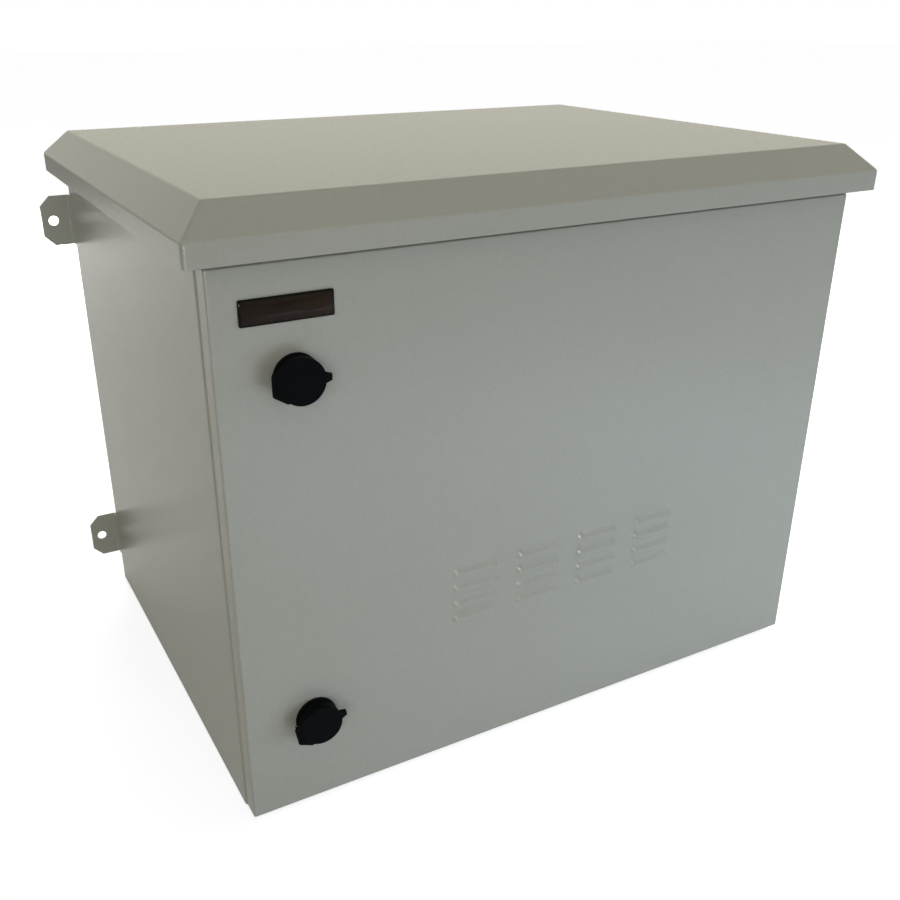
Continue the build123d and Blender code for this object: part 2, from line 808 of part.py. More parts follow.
def ear_bolt_places(direction, level):
    """Frames on the outside of the back: local Z points towards the wall."""
    x = direction * (half_width - ear_bolt_in)
    for step in (-0.5, 0.5):
        z = ear_hole_z[level] + step * ear_bolt_pitch
        yield Location(Plane(origin=(x, back_y, z), x_dir=(-1, 0, 0), z_dir=(0, 1, 0)))


def make_wall_ear(direction, level):
    """Folded ear: a foot on the back, a stand-off flush with the side, and a plate at the wall."""
    z = ear_hole_z[level]
    foot_line = [
        (half_width - ear_foot, back_y + ear_sheet),
        (half_width - ear_sheet, back_y + ear_sheet),
        (half_width - ear_sheet, wall_y),
        (half_width + ear_reach, wall_y),
    ]
    section = folded_section(foot_line, [1.0, ear_bend], ear_sheet, Side.RIGHT)
    ear = extrude(Pos(0, 0, z - ear_height / 2) * section, ear_height)
    tips = ear.edges().filter_by(Axis.Y).sort_by(Axis.X)[-2:]
    ear = chamfer(tips, ear_chamfer)
    bore = Pos(half_width + ear_hole_out, wall_y, z) * Rot(90, 0, 0) * Cylinder(ear_hole_r, 4 * ear_sheet)
    ear = left_right(ear - bore, direction)
    for place in ear_bolt_places(direction, level):
        ear -= place * disc(ear_bolt_r + bolt_hole_clearance, -1, ear_sheet + 1)
    return ear


def make_ear_bolts():
    """Hexagon bolts through ear and back, heads outside, with nuts inside."""
    bolts = []
    for direction in side_names.values():
        for level in lock_names:
            for place in ear_bolt_places(direction, level):
                head = hexagon(hex_across_flats, ear_sheet, ear_sheet + hex_head)
                shank_end = -sheet - nut_thickness - 2
                bolts.append(place * (head + disc(ear_bolt_r, shank_end, ear_sheet)))
    return bolts


def make_ear_nuts():
    nuts = []
    for direction in side_names.values():
        for level in lock_names:
            for place in ear_bolt_places(direction, level):
                nut = hexagon(hex_across_flats, -sheet - nut_thickness, -sheet)
                nuts.append(place * (nut - disc(ear_bolt_r, -sheet - nut_thickness - 1, 0)))
    return nuts


# Rack rails and the channels that carry them


def make_rack_rail(direction, place):
    """Angle with a column of square holes, three to each rack unit."""
    front_y = rim_y + rail_setback[place]
    ahead = 1 if place == "front" else -1
    outline = [
        (rail_inner_x, front_y),
        (rail_outer_x, front_y),
        (rail_outer_x, front_y + ahead * rail_side_depth),
    ]
    side = Side.LEFT if ahead > 0 else Side.RIGHT
    rail = extrude(Pos(0, 0, rail_bottom) * folded_section(outline, rail_bend, rail_sheet, side), rail_length)
    hole = Box(rack_hole_square, 4 * rail_sheet, rack_hole_square)
    for unit in range(rack_units):
        for step in rack_hole_steps:
            z = rail_bottom + rail_margin + unit * rack_unit + step
            rail -= Pos(rack_hole_centres / 2, front_y, z) * hole
    rail = left_right(rail, direction)
    for bolt in rail_bolt_places(direction, place):
        rail -= bolt * disc(rail_bolt_r + bolt_hole_clearance, -1, rail_sheet + 1)
    return rail


def channel_span(level):
    """Lower and upper edge of a channel's inner flange."""
    if level == "lower":
        return rail_bottom + channel_rail_lap, rail_bottom + channel_rail_lap + channel_height
    return rail_top - channel_rail_lap - channel_height, rail_top - channel_rail_lap


def rail_bolt_places(direction, place):
    """Frames on the outer face of a rail's side flange: local Z points into the rack space."""
    ahead = 1 if place == "front" else -1
    y = rim_y + rail_setback[place] + ahead * rail_side_depth / 2
    for level in lock_names:
        low, high = channel_span(level)
        x = direction * rail_outer_x
        yield Location(Plane(origin=(x, y, (low + high) / 2), x_dir=(0, 1, 0), z_dir=(-direction, 0, 0)))


def make_depth_channel(direction, level):
    """Folded channel welded to the side wall. Slots in its inner flange let the rails move in depth."""
    low, high = channel_span(level)
    web = low if level == "lower" else high
    edge = high if level == "lower" else low
    inside_x = half_width - sheet
    outline = [(rail_outer_x, edge), (rail_outer_x, web), (inside_x, web), (inside_x, edge)]
    side = Side.LEFT if level == "lower" else Side.RIGHT
    section = folded_section(outline, channel_bend, channel_sheet, side)
    front = rim_y + channel_end_gap
    plane = Plane(origin=(0, front, 0), x_dir=(1, 0, 0), z_dir=(0, -1, 0))
    channel = extrude(plane * section, -(body_depth - 2 * channel_end_gap))
    channel = left_right(channel, direction)
    for place in rail_setback:
        for bolt in rail_bolt_places(direction, place):
            slot = SlotOverall(rail_slot_length, 2 * (rail_bolt_r + bolt_hole_clearance))
            cut = bolt * extrude(Pos(0, 0, -2 * channel_sheet) * slot, 3 * channel_sheet)
            channel -= cut
    return channel


def make_rail_bolts():
    """Bolts from the channel into the rail."""
    bolts = []
    for direction in side_names.values():
        for place in rail_setback:
            for bolt in rail_bolt_places(direction, place):
                head = hexagon(hex_across_flats, -channel_sheet - hex_head, -channel_sheet)
                shank = disc(rail_bolt_r, -channel_sheet, rail_sheet + nut_thickness + 2)
                bolts.append(bolt * (head + shank))
    return bolts


def make_rail_nuts():
    nuts = []
    for direction in side_names.values():
        for place in rail_setback:
            for bolt in rail_bolt_places(direction, place):
                nut = hexagon(hex_across_flats, rail_sheet, rail_sheet + nut_thickness)
                nuts.append(bolt * (nut - disc(rail_bolt_r, 0, rail_sheet + nut_thickness + 1)))
    return nuts


# Cable entry

entry_y = back_y - entry_back_gap - entry_depth / 2
plate_bottom = sheet + entry_seal
plate_top = plate_bottom + gland_plate_sheet


def gland_screw_places():
    x = entry_width / 2 + entry_lap / 2
    y = entry_depth / 2 + entry_lap / 2
    return [(i * x, entry_y + j * y) for i in (-1, 0, 1) for j in (-1, 1)]


def grommet_places():
    first = -(grommet_count - 1) / 2 * grommet_pitch
    return [(first + number * grommet_pitch, entry_y) for number in range(grommet_count)]


def entry_plate(z0, z1):
    outline = RectangleRounded(entry_width + 2 * entry_lap, entry_depth + 2 * entry_lap, entry_corner)
    plate = extrude(Pos(0, entry_y, z0) * outline, z1 - z0)
    for x, y in gland_screw_places():
        plate -= disc(gland_screw_r + bolt_hole_clearance, z0 - 1, z1 + 1, x, y)
    return plate


def make_gland_seal():
    opening = RectangleRounded(entry_width, entry_depth, entry_corner)
    return entry_plate(sheet, plate_bottom) - extrude(Pos(0, entry_y, 0) * opening, plate_top)


def make_gland_plate():
    plate = entry_plate(plate_bottom, plate_top)
    for x, y in grommet_places():
        plate -= disc(grommet_hole_r, 0, plate_top + 1, x, y)
    return plate


def make_gland_screws():
    screws = []
    for x, y in gland_screw_places():
        head = disc(gland_screw_head_r, plate_top, plate_top + gland_screw_head, x, y)
        head = chamfer(head.faces().sort_by(Axis.Z)[-1].edges(), screw_head_edge)
        screws.append(head + disc(gland_screw_r, 0, plate_top, x, y))
    return screws


def make_cable_grommets():
    """Stepped rubber grommets with a closed crown, to be cut open for a cable."""
    low = plate_bottom - grommet_lip
    high = plate_top + grommet_lip
    crown_r = grommet_hole_r - 2
    outer = Polyline(
        (0, high + grommet_crown),
        (crown_r * 0.5, high + grommet_crown),
        (crown_r, high),
        (grommet_flange_r, high),
        (grommet_flange_r, plate_top),
        (grommet_hole_r, plate_top),
        (grommet_hole_r, plate_bottom),
        (grommet_flange_r - 1, plate_bottom),
        (grommet_flange_r - 1, low),
        (crown_r - grommet_wall, low),
        (crown_r - grommet_wall, high - 0.5),
        (crown_r * 0.5 - grommet_wall * 0.5, high + grommet_crown - grommet_wall),
        (0, high + grommet_crown - grommet_wall),
        close=True,
    )
    grommet = revolve(Plane.XZ * make_face(outer), Axis.Z)
    return [Pos(x, y, 0) * grommet for x, y in grommet_places()]


# Earth studs


def make_body_earth_stud():
    y = back_y - body_earth_back_gap
    return disc(earth_stud_r, sheet, sheet + earth_stud_length, body_earth_x, y)


def make_body_earth_nut():
    y = back_y - body_earth_back_gap
    base = sheet + earth_washer
    nut = Pos(body_earth_x, y) * hexagon(earth_nut_across_flats, base, base + earth_nut_thickness)
    nut += disc(earth_washer_r, sheet, base, body_earth_x, y)
    return nut - disc(earth_stud_r, 0, base + earth_nut_thickness + 1, body_earth_x, y)


def make_door_earth_stud():
    return rear_of_skin(door_earth_x, door_earth_z) * disc(earth_stud_r, 0, door_earth_length)


def make_door_earth_nut():
    base = earth_washer
    nut = hexagon(earth_nut_across_flats, base, base + earth_nut_thickness)
    nut += disc(earth_washer_r, 0, base)
    nut -= disc(earth_stud_r, -1, base + earth_nut_thickness + 1)
    return rear_of_skin(door_earth_x, door_earth_z) * nut


# All the pieces, by name

pieces = {
    "body_wrap": make_body_wrap(),
    "top_panel": make_top_panel(),
    "floor_panel": make_floor_panel(),
    "roof_hood": make_roof_hood(),
    "hood_spacers": make_hood_spacers(),
    "hood_screws": make_hood_screws(),
    "door_panel": make_door_panel(),
    "door_gasket": make_door_gasket(),
    "filter_pad": make_filter_pad(),
    "filter_retainer": make_filter_retainer(),
    "filter_studs": make_filter_studs(),
    "filter_nuts": make_filter_nuts(),
    "badge_plate": make_badge_plate(),
    "hinge_screws": make_hinge_screws(),
    "ear_bolts": make_ear_bolts(),
    "ear_nuts": make_ear_nuts(),
    "rail_bolts": make_rail_bolts(),
    "rail_nuts": make_rail_nuts(),
    "gland_plate": make_gland_plate(),
    "gland_seal": make_gland_seal(),
    "gland_screws": make_gland_screws(),
    "cable_grommets": make_cable_grommets(),
    "body_earth_stud": make_body_earth_stud(),
    "body_earth_nut": make_body_earth_nut(),
    "door_earth_stud": make_door_earth_stud(),
    "door_earth_nut": make_door_earth_nut(),
    "lock_seals": [lock_frame(level) * make_lock_seal() for level in lock_names],
    "lock_nuts": [lock_frame(level) * make_lock_nut() for level in lock_names],
    "flap_pins": [lock_frame(level) * flap_pin_bar(flap_pin_r, flap_tail_half) for level in lock_names],
}

lock_pieces = {
    "lock_housing": make_lock_housing(),
    "lock_core": make_lock_core(),
    "lock_cam": make_lock_cam(),
    "cam_screw": make_cam_screw(),
    "lock_flap": make_lock_flap(),
    "flap_spring": make_flap_spring(),
}

for level in lock_names:
    for name, shape in lock_pieces.items():
        upright = name in ("lock_core", "lock_cam", "cam_screw")
        frame = on_door_face(lock_x, lock_z[level]) if upright else lock_frame(level)
        pieces[f"{name}_{level}"] = frame * shape
    pieces[f"hinge_body_leaf_{level}"] = make_hinge_body_leaf(level)
    pieces[f"hinge_door_leaf_{level}"] = make_hinge_door_leaf(level)
    pieces[f"hinge_pin_{level}"] = make_hinge_pin(level)
    for side_name, direction in side_names.items():
        pieces[f"wall_ear_{side_name}_{level}"] = make_wall_ear(direction, level)
        pieces[f"depth_channel_{side_name}_{level}"] = make_depth_channel(direction, level)

for place in rail_setback:
    for side_name, direction in side_names.items():
        pieces[f"rack_rail_{place}_{side_name}"] = make_rack_rail(direction, place)

os.makedirs("parts", exist_ok=True)
for name, shape in pieces.items():
    solid = Compound(children=shape) if isinstance(shape, list) else shape
    export_step(solid, f"parts/{name}.step")
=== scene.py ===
import json
import math

import bpy
from mathutils import Matrix, Vector

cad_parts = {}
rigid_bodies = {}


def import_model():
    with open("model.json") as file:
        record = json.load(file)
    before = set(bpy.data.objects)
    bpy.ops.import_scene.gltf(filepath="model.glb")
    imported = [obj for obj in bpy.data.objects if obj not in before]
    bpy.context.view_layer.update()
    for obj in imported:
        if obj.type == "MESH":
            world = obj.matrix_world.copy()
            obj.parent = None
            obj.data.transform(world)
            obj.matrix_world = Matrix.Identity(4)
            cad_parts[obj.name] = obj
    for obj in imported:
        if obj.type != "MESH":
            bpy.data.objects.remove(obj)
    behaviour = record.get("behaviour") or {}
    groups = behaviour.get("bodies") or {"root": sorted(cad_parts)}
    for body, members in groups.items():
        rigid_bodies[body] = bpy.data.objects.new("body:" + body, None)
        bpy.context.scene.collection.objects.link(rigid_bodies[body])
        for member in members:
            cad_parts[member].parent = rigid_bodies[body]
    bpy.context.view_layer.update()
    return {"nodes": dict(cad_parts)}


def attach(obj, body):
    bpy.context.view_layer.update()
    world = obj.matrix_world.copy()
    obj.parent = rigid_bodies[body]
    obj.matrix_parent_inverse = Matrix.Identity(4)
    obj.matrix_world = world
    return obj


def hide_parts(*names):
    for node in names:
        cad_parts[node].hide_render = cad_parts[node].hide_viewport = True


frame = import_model()
nodes = frame["nodes"]
MM = 0.001


# The folded sheets
# Steel sheet, cut, folded and welded, then powder-coated in a warm light grey. The coat is
# semi-gloss with a fine orange peel, and its cut edges are a little rounded by it.

WELD = 0.005 * MM
FLAT_ANGLE = math.radians(0.5)
CUT_ANGLE = math.radians(50)
SHEET_EASE = 0.25 * MM
EAR_EASE = 0.35 * MM
THIN_EASE = 0.2 * MM


class Shade:
    """A socket of a material. Arithmetic on it adds Math nodes."""

    def __init__(self, tree, socket=None):
        self.tree = tree
        self.socket = socket

    def node(self, kind, settings=(), inputs=(), output=0):
        """Adds a node: its settings are set first, then its sockets are given values or links."""
        made = self.tree.nodes.new(kind)
        for name, value in dict(settings).items():
            setattr(made, name, value)
        for name, value in dict(inputs).items():
            if isinstance(value, Shade):
                self.tree.links.new(value.socket, made.inputs[name])
            else:
                made.inputs[name].default_value = value
        return Shade(self.tree, made.outputs[output])

    def math(self, operation, *values):
        return self.node("ShaderNodeMath", {"operation": operation}, dict(enumerate(values)))

    def mix(self, first, second):
        """The first colour where this is 0, the second where it is 1."""
        return self.node("ShaderNodeMix", {"data_type": "RGBA"}, {0: self, 6: first, 7: second}, 2)

    def clamped(self, low, high):
        """0 below low, 1 above high, smooth between them."""
        return self.node("ShaderNodeMapRange", {"interpolation_type": "SMOOTHSTEP"},
                         {0: self, 1: low, 2: high})

    def __add__(self, other):
        return self.math("ADD", self, other)

    __radd__ = __add__

    def __mul__(self, other):
        return self.math("MULTIPLY", self, other)

    __rmul__ = __mul__

    def __sub__(self, other):
        return self.math("SUBTRACT", self, other)

    def __rsub__(self, other):
        return self.math("SUBTRACT", other, self)


def new_material(name, **constants):
    """A material with one Principled shader. Returns it, its shader node and an empty Shade."""
    material = bpy.data.materials.new(name)
    material.use_nodes = True
    shader = material.node_tree.nodes["Principled BSDF"]
    for socket, value in constants.items():
        shader.inputs[socket.replace("_", " ")].default_value = value
    return material, shader, Shade(material.node_tree)


def feed(shader, socket, value):
    """Links a worked-out value to a socket of the material's main shader."""
    value.tree.links.new(value.socket, shader.inputs[socket])


def object_place(shade, axis=None):
    """Where a point lies in the piece's own frame, in metres: all of it, or along X, Y or Z."""
    place = shade.node("ShaderNodeTexCoord", output=3)
    if axis is None:
        return place
    return shade.node("ShaderNodeSeparateXYZ", {}, {0: place}, axis)


def object_noise(shade, scale, detail=2.0, roughness=0.5):
    """Noise that is fixed to the piece, with its scale in cells to the metre."""
    return shade.node("ShaderNodeTexNoise", {}, {"Vector": object_place(shade), "Scale": scale,
                                                 "Detail": detail, "Roughness": roughness})


def bumped(shade, shader, height, strength, distance):
    """Gives the shader a bump, its depth in metres."""
    bump = shade.node("ShaderNodeBump", {},
                      {"Strength": strength, "Distance": distance, "Height": height})
    feed(shader, "Normal", bump)


def linear(red, green, blue):
    """A colour from the 0 to 255 values of a screen."""
    return tuple(((c / 255 + 0.055) / 1.055) ** 2.4 for c in (red, green, blue)) + (1.0,)


def powder_coat(name, colour, darker):
    material, shader, shade = new_material(name, IOR=1.5)
    broad = object_noise(shade, 6.0, 2.0)
    mottle = object_noise(shade, 330.0, 3.0, 0.6)
    peel = object_noise(shade, 700.0, 2.0, 0.45)
    grit = object_noise(shade, 1700.0, 1.0)
    tone = (broad - 0.5) * 0.45 + (mottle - 0.5) * 0.9 + 0.5
    feed(shader, "Base Color", tone.mix(darker, colour))
    feed(shader, "Roughness", 0.21 + (mottle - 0.5) * 0.08)
    bumped(shade, shader, peel + grit * 0.2, 1.0, 0.22 * MM)
    return material


def only(piece):
    """Selects one piece and makes it the active one."""
    bpy.ops.object.select_all(action="DESELECT")
    piece.select_set(True)
    bpy.context.view_layer.objects.active = piece


def apply_modifier(piece, kind, **settings):
    only(piece)
    bpy.ops.object.modifier_add(type=kind)
    modifier = piece.modifiers[-1]
    for name, value in settings.items():
        setattr(modifier, name, value)
    bpy.ops.object.modifier_apply(modifier=modifier.name)


def even_normals(piece, smooth_angle):
    """Smooth round the bends, flat on the faces."""
    only(piece)
    bpy.ops.object.shade_smooth_by_angle(angle=math.radians(smooth_angle))
    apply_modifier(piece, "WEIGHTED_NORMAL", weight=100, keep_sharp=True)


def hand_over(piece, body, slot, material, *replaced):
    """A finished piece: its material, its body and the nodes it stands for. The slot of its finish is
    not used.
    """
    piece.data.materials.clear()
    piece.data.materials.append(material)
    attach(piece, body)
    if replaced:
        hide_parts(*replaced)
    return piece


def sheet_copy(name, node, body, slot, material, ease=0.0, smooth_angle=32):
    """The node's own sheet as one welded mesh, its cut edges eased."""
    piece = bpy.data.objects.new(name, nodes[node].data.copy())
    bpy.context.scene.collection.objects.link(piece)
    only(piece)
    if piece.data.has_custom_normals:
        bpy.ops.mesh.customdata_custom_splitnormals_clear()
    bpy.ops.object.mode_set(mode="EDIT")
    bpy.ops.mesh.select_all(action="SELECT")
    bpy.ops.mesh.remove_doubles(threshold=WELD)
    if ease:
        bpy.ops.mesh.dissolve_limited(angle_limit=FLAT_ANGLE)
    bpy.ops.object.mode_set(mode="OBJECT")
    if ease:
        apply_modifier(piece, "BEVEL", width=ease, segments=2, limit_method="ANGLE",
                       angle_limit=CUT_ANGLE, use_clamp_overlap=True, harden_normals=False)
    even_normals(piece, smooth_angle)
    return hand_over(piece, body, slot, material, node)


def finish_node(node, material):
    """Gives a node that is shown as it is its material."""
    nodes[node].data.materials.clear()
    nodes[node].data.materials.append(material)


coat = powder_coat("powder_coat", linear(167, 168, 157), linear(158, 159, 149))
sheet_copy("box_wrap", "body_wrap", "cabinet", "body_paint", coat, SHEET_EASE)
sheet_copy("box_top", "top_panel", "cabinet", "body_paint", coat)
sheet_copy("box_floor", "floor_panel", "cabinet", "body_paint", coat, SHEET_EASE)


# The rain hood
# One sheet, its edges folded down twice and its corners welded and ground, coated with the
# body. It stands on four bushes, screwed from inside.

sheet_copy("rain_hood", "roof_hood", "cabinet", "body_paint", coat, SHEET_EASE)
finish_node("hood_spacers", coat)


# The wall ears and the depth channels
# Folded from thicker sheet and coated with the body. The channels are welded to the sides.

for side in ("left", "right"):
    for level in ("lower", "upper"):
        sheet_copy(f"ear_{side}_{level}", f"wall_ear_{side}_{level}", "cabinet", "body_paint",
                   coat, EAR_EASE)
        sheet_copy(f"channel_{side}_{level}", f"depth_channel_{side}_{level}", "cabinet",
                   "body_paint", coat, THIN_EASE)


# Bare steel
# Zinc-plated rails, hinge leaves and plates, with the cloudy grain of plating.

def zinc_plate(name, colour, darker, roughness):
    material, shader, shade = new_material(name, Metallic=1.0)
    cloud = object_noise(shade, 45.0, 4.0, 0.6)
    grain = object_noise(shade, 900.0, 2.0)
    feed(shader, "Base Color", cloud.clamped(0.3, 0.7).mix(darker, colour))
    feed(shader, "Roughness", roughness + (cloud - 0.5) * 0.25)
    bumped(shade, shader, grain, 0.15, 0.03 * MM)
    return material


zinc = zinc_plate("zinc_plate", linear(196, 198, 200), linear(172, 176, 182), 0.36)
for place in ("front", "rear"):
    for side in ("left", "right"):
        sheet_copy(f"upright_{place}_{side}", f"rack_rail_{place}_{side}", "cabinet", "rail_zinc",
                   zinc, THIN_EASE)
sheet_copy("entry_plate", "gland_plate", "cabinet", "rail_zinc", zinc, THIN_EASE)
sheet_copy("filter_frame", "filter_retainer", "door", "rail_zinc", zinc, THIN_EASE)
for level in ("upper", "lower"):
    sheet_copy(f"fixed_leaf_{level}", f"hinge_body_leaf_{level}", "cabinet", "rail_zinc",
               zinc, THIN_EASE)
    sheet_copy(f"door_leaf_{level}", f"hinge_door_leaf_{level}", "door", "rail_zinc",
               zinc, THIN_EASE)


# The fasteners
# Cold-headed and zinc-plated. The corners of each hexagon are turned off at thirty degrees, pan
# heads have a cross recess, and the shanks show their thread.

THREAD_PITCH = 1.0 * MM
HEX_FLATS = 10.0 * MM
HEAD_HEIGHT = 4.0 * MM
NUT_HEIGHT = 5.0 * MM
BOLT_R = 3.0 * MM


def plated_steel(name, thread_axis=None):
    material, shader, shade = new_material(name, Metallic=1.0)
    cloud = object_noise(shade, 160.0, 3.0, 0.6)
    tone = cloud.clamped(0.3, 0.7).mix(linear(166, 167, 168), linear(196, 195, 188))
    feed(shader, "Base Color", tone)
    feed(shader, "Roughness", 0.3 + (cloud - 0.5) * 0.2)
    if thread_axis is None:
        bumped(shade, shader, object_noise(shade, 1400.0, 2.0), 0.15, 0.03 * MM)
    else:
        turns = object_place(shade, thread_axis) * (2 * math.pi / THREAD_PITCH)
        bumped(shade, shader, turns.math("SINE", turns), 1.0, 0.25 * MM)
    return material


plated = plated_steel("plated_steel")
threaded = {axis: plated_steel(f"thread_along_{axis}", "XYZ".index(axis)) for axis in "XYZ"}


def primitive(kind, **settings):
    """A primitive added with nothing else selected, its place and size applied to its mesh."""
    bpy.ops.object.select_all(action="DESELECT")
    getattr(bpy.ops.mesh, f"primitive_{kind}_add")(**settings)
    bpy.ops.object.transform_apply(location=True, rotation=True, scale=True)
    return bpy.context.object


def carve(piece, operation, tool):
    apply_modifier(piece, "BOOLEAN", operation=operation, object=tool, solver="EXACT")
    bpy.data.objects.remove(tool)


def joined(pieces):
    bpy.ops.object.select_all(action="DESELECT")
    for piece in pieces:
        piece.select_set(True)
    bpy.context.view_layer.objects.active = pieces[0]
    bpy.ops.object.join()
    return bpy.context.object


def hexagon(flats, height):
    """Stands on the origin along Z, with the corners of its upper face turned off."""
    head = primitive("cylinder", vertices=6, radius=flats / math.sqrt(3), depth=height,
                     location=(0, 0, height / 2))
    face_r = 0.47 * flats
    cone = primitive("cone", vertices=48, radius1=face_r + height * math.sqrt(3), radius2=face_r,
                     depth=height, location=(0, 0, height / 2))
    carve(head, "INTERSECT", cone)
    return head


def pan_head(radius, height):
    """Stands on the origin along Z, domed, with a cross recess."""
    head = primitive("cylinder", vertices=40, radius=radius, depth=height,
                     location=(0, 0, height / 2))
    apply_modifier(head, "BEVEL", width=0.45 * height, segments=4, limit_method="ANGLE")
    for turn in (0, math.pi / 2):
        arm = primitive("cube", size=1.0, scale=(1.1 * radius, 0.24 * radius, 1.2 * height),
                        rotation=(0, 0, turn), location=(0, 0, 1.05 * height))
        carve(head, "DIFFERENCE", arm)
    return head


def shank(radius, length):
    """Hangs below the origin, with its end chamfered."""
    rod = primitive("cylinder", vertices=28, radius=radius, depth=length,
                    location=(0, 0, -length / 2))
    apply_modifier(rod, "BEVEL", width=0.4 * MM, segments=1, limit_method="ANGLE")
    for slot in ("head", "thread"):
        rod.data.materials.append(plated)
    for face in rod.data.polygons:
        face.material_index = 1
    return rod


def facing(place, direction):
    """Puts the origin at a place, given in millimetres, and turns Z to a direction."""
    turn = Vector(direction).to_track_quat("Z", "Y").to_matrix().to_4x4()
    return Matrix.Translation(Vector(place) * MM) @ turn


def fasteners(name, pattern, places, body, node, thread=None):
    """One piece that holds a copy of the pattern at each place, and stands for the node."""
    copies = []
    for place in places:
        mesh = pattern.data.copy()
        mesh.transform(place)
        copy = bpy.data.objects.new(name, mesh)
        bpy.context.scene.collection.objects.link(copy)
        copies.append(copy)
    piece = joined(copies)
    piece.name = name
    even_normals(piece, 28)
    face_slots = [face.material_index for face in piece.data.polygons]
    hand_over(piece, body, "steel_fasteners", plated, node)
    if thread:
        piece.data.materials.append(threaded[thread])
        for face, number in zip(piece.data.polygons, face_slots):
            face.material_index = number


# Where they are, in millimetres: across, and how deep each seats.
EAR_BOLTS = [(side * 280.0, z + step)
             for side in (-1, 1) for z in (54.5, 420.5) for step in (-14.0, 14.0)]
EAR_BOLT_SEAT, EAR_NUT_SEAT = 233.25, 229.75
RAIL_BOLTS = [(side, y, z) for side in (-1, 1) for y in (-140.75, 104.25) for z in (41.0, 425.05)]
RAIL_BOLT_SEAT, RAIL_NUT_SEAT = 251.5, 248.0
HOOD_SCREWS = [(x, 12.75 + y) for x in (-210.0, 210.0) for y in (-138.5, 138.5)]
HOOD_SCREW_SEAT = 476.5
ENTRY_SCREWS = [(x, 116.25 + y) for x in (-159.0, 0.0, 159.0) for y in (-54.0, 54.0)]
ENTRY_SCREW_SEAT = 5.0
HINGE_SCREW_X, HINGE_SCREW_SEAT = 287.2, -207.25
HINGE_SCREWS = [z + step for z in (78.0, 392.0) for step in (-21.0, 21.0)]
FILTER_NUTS = (-129.0, 144.5)
FILTER_NUT_Z, FILTER_NUT_SEAT = 165.7, -223.75

bolt = joined([hexagon(HEX_FLATS, HEAD_HEIGHT), shank(BOLT_R, 10.5 * MM)])
nut = hexagon(HEX_FLATS, NUT_HEIGHT)
fasteners("ear_bolt_set", bolt, [facing((x, EAR_BOLT_SEAT, z), (0, 1, 0)) for x, z in EAR_BOLTS],
          "cabinet", "ear_bolts", "Y")
fasteners("ear_nut_set", nut, [facing((x, EAR_NUT_SEAT, z), (0, -1, 0)) for x, z in EAR_BOLTS],
          "cabinet", "ear_nuts")
fasteners("rail_bolt_set", bolt,
          [facing((side * RAIL_BOLT_SEAT, y, z), (side, 0, 0)) for side, y, z in RAIL_BOLTS],
          "cabinet", "rail_bolts", "X")
fasteners("rail_nut_set", nut,
          [facing((side * RAIL_NUT_SEAT, y, z), (-side, 0, 0)) for side, y, z in RAIL_BOLTS],
          "cabinet", "rail_nuts")
hood_screw = joined([hexagon(HEX_FLATS, HEAD_HEIGHT), shank(BOLT_R, 13.5 * MM)])
fasteners("hood_screw_set", hood_screw,
          [facing((x, y, HOOD_SCREW_SEAT), (0, 0, -1)) for x, y in HOOD_SCREWS],
          "cabinet", "hood_screws", "Z")
entry_screw = joined([pan_head(4.5 * MM, 3.0 * MM), shank(2.5 * MM, 5.0 * MM)])
fasteners("entry_screw_set", entry_screw,
          [facing((x, y, ENTRY_SCREW_SEAT), (0, 0, 1)) for x, y in ENTRY_SCREWS],
          "cabinet", "gland_screws", "Z")
hinge_screw = joined([pan_head(3.6 * MM, 1.6 * MM), shank(2.0 * MM, 1.5 * MM)])
fasteners("hinge_screw_set", hinge_screw,
          [facing((HINGE_SCREW_X, HINGE_SCREW_SEAT, z), (0, -1, 0)) for z in HINGE_SCREWS],
          "cabinet", "hinge_screws", "Y")
filter_nut = hexagon(7.0 * MM, HEAD_HEIGHT)
fasteners("filter_nut_set", filter_nut,
          [facing((x, FILTER_NUT_SEAT, FILTER_NUT_Z), (0, 1, 0)) for x in FILTER_NUTS],
          "door", "filter_nuts")
for pattern in (bolt, nut, hood_screw, entry_screw, hinge_screw, filter_nut):
    bpy.data.objects.remove(pattern)

for node, axis in (("filter_studs", "Y"), ("door_earth_stud", "Y"), ("body_earth_stud", "Z")):
    finish_node(node, threaded[axis])
NUT_EASE = 0.4 * MM
sheet_copy("door_earth_washer_nut", "door_earth_nut", "door", "steel_fasteners", plated, NUT_EASE)
sheet_copy("body_earth_washer_nut", "body_earth_nut", "cabinet", "steel_fasteners",
           plated, NUT_EASE)
sheet_copy("lock_ring_nuts", "lock_nuts", "door", "steel_fasteners", plated, NUT_EASE)
finish_node("flap_pins", plated)
for level in ("upper", "lower"):
    sheet_copy(f"tongue_{level}", f"lock_cam_{level}", f"cam_{level}", "steel_fasteners",
               plated, 0.3 * MM)
    sheet_copy(f"tongue_screw_{level}", f"cam_screw_{level}", f"cam_{level}", "steel_fasteners",
               plated, THIN_EASE)
    sheet_copy(f"key_core_{level}", f"lock_core_{level}", f"cam_{level}", "steel_fasteners",
               plated, THIN_EASE)
    finish_node(f"flap_spring_{level}", plated)
    finish_node(f"hinge_pin_{level}", plated)


# Rubber, foam and felt
# Grommets and seals are black rubber, the ring behind the door is dark foam, and the filter is
# pale felt.

def rubber(name, colour, roughness, pore_scale, depth):
    material, shader, shade = new_material(name)
    pores = object_noise(shade, pore_scale, 3.0, 0.7)
    feed(shader, "Base Color", pores.mix(colour, tuple(c * 1.6 for c in colour[:3]) + (1.0,)))
    feed(shader, "Roughness", roughness + (pores - 0.5) * 0.2)
    bumped(shade, shader, pores, 0.5, depth)
    return material


